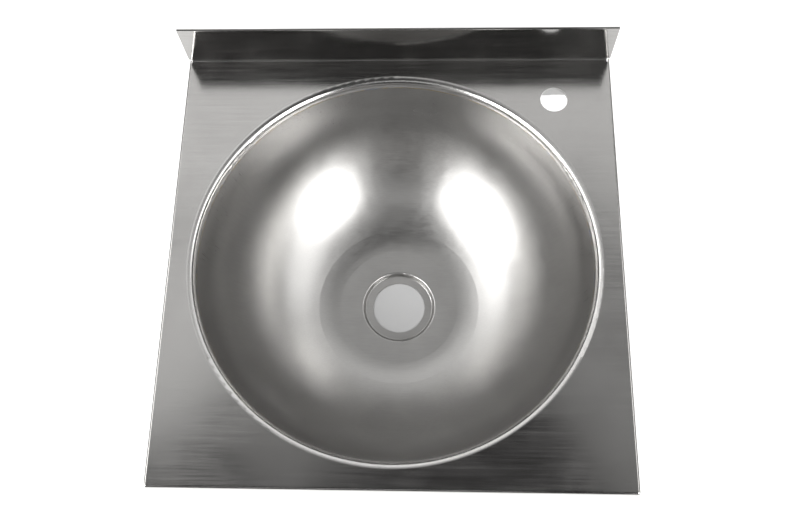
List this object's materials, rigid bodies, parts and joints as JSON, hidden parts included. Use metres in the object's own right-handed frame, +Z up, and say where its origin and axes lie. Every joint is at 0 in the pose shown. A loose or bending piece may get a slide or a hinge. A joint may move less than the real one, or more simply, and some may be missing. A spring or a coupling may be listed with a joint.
{
  "type": "hand wash sink",
  "caption": "Square wall-hung stainless steel hand wash sink with a round bowl, a rear upstand, folded aprons, one tap hole and a concealed hook-on wall bracket.",
  "frame": {"origin": "midway between the two wall fixing slots, on the wall plane", "axes": "+Z up, +Y into the wall, so the front edge faces -Y; +X to the right for someone facing the wall"},
  "size_m": [0.4, 0.4024, 0.2002],
  "materials": {
    "deck_sheet": "1.2 mm stainless sheet, straight brushed grain from side to side, lip polished brighter",
    "bowl_sheet": "1.2 mm stainless sheet, spun and brushed satin",
    "dressed_weld": "weld metal ground flush and brushed with the sheet",
    "seam_weld": "weld metal left as welded and wire-brushed underneath",
    "plain_plate": "plain mill-finish stainless plate, unpolished",
    "damping_sheet": "dull dark self-adhesive damping sheet",
    "bright_fastener": "plain stainless fasteners"
  },
  "bodies": {
    "root": {"deck_panel": "deck_sheet", "corner_weld_left": "dressed_weld", "corner_weld_right": "dressed_weld", "bowl": "bowl_sheet", "bowl_weld": "seam_weld", "sound_pads": "damping_sheet", "tap_plate": "plain_plate", "rear_rail": "plain_plate", "rail_welds": "seam_weld", "wall_bracket": "plain_plate", "rivet_nuts": "bright_fastener", "locking_washers": "bright_fastener", "locking_screws": "bright_fastener"}
  },
  "joints": []
}
